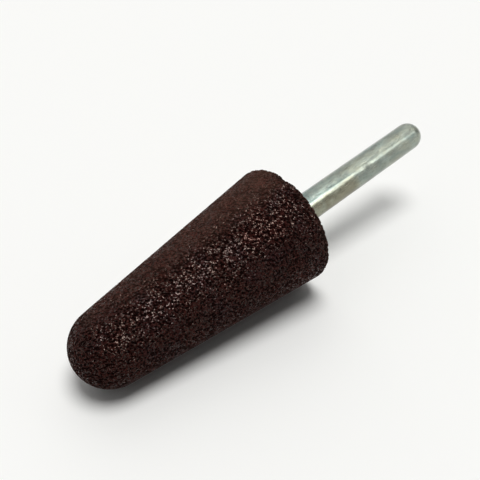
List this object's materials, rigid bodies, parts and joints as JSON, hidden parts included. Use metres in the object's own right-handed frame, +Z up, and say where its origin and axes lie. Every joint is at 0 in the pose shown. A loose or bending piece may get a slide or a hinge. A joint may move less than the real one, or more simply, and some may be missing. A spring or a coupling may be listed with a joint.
{
  "type": "mounted point",
  "caption": "Ball-nosed tapered head of dark brown bonded abrasive, cemented on a plain round steel shank with a domed end, for grinding by hand with a power tool.",
  "frame": {"origin": "middle of the part's box on the surface that it lies on", "axes": "+Z up from the surface, +X from the nose to the free end of the shank, which rises a little because the taper lies on its side"},
  "size_m": [0.0894, 0.0246, 0.0245],
  "materials": {
    "abrasive": "matte",
    "cement": "matte",
    "plated_steel": "satin"
  },
  "bodies": {
    "root": {"abrasive_head": "abrasive", "setting_cement": "cement", "steel_shank": "plated_steel"}
  },
  "joints": []
}
